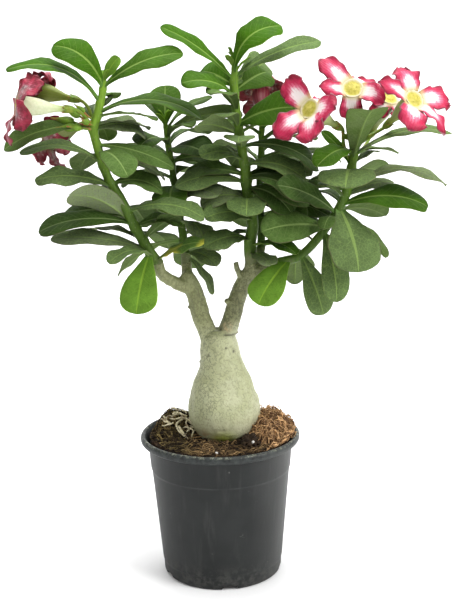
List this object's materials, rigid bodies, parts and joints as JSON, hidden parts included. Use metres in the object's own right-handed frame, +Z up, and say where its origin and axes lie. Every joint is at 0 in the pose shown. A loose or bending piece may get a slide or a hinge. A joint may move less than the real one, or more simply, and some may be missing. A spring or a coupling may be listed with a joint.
{
  "type": "potted desert rose plant",
  "caption": "Young desert rose with a swollen pale base, forked grey branches, spoon-shaped leaves and white and crimson funnel blooms, in a dark round nursery pot.",
  "frame": {"origin": "centre of the pot's flat underside, on the surface that the pot stands on", "axes": "+Z up along the pot's axis, -Y the front of the plant, +X to the right as seen from the front"},
  "size_m": [0.3931, 0.2063, 0.5151],
  "materials": {
    "pot": "semi-matt dark charcoal plastic, scuffed",
    "soil": "damp peat and bark crumbs",
    "bark": "smooth living bark, pale green-grey with fine dark stipple",
    "root": "dry cream root skin",
    "coir": "matted reddish-brown coir fibre",
    "leaf": "smooth waxy leaf, green, with pale midribs",
    "petal": "soft petal, white inside with crimson margin and yellow throat"
  },
  "bodies": {
    "root": {"pot": "pot", "soil": "soil", "caudex": "bark", "surface_roots": "root", "coir_heap": "coir", "left_stem": "leaf", "centre_stem": "leaf", "right_stem": "leaf", "back_left_stem": "leaf", "back_stem": "leaf", "bloom_front": "petal", "bloom_middle": "petal", "bloom_right": "petal", "bloom_behind": "petal", "bloom_back": "petal", "bloom_left": "petal", "bloom_left_upper": "petal", "bloom_left_lower": "petal"}
  },
  "joints": []
}
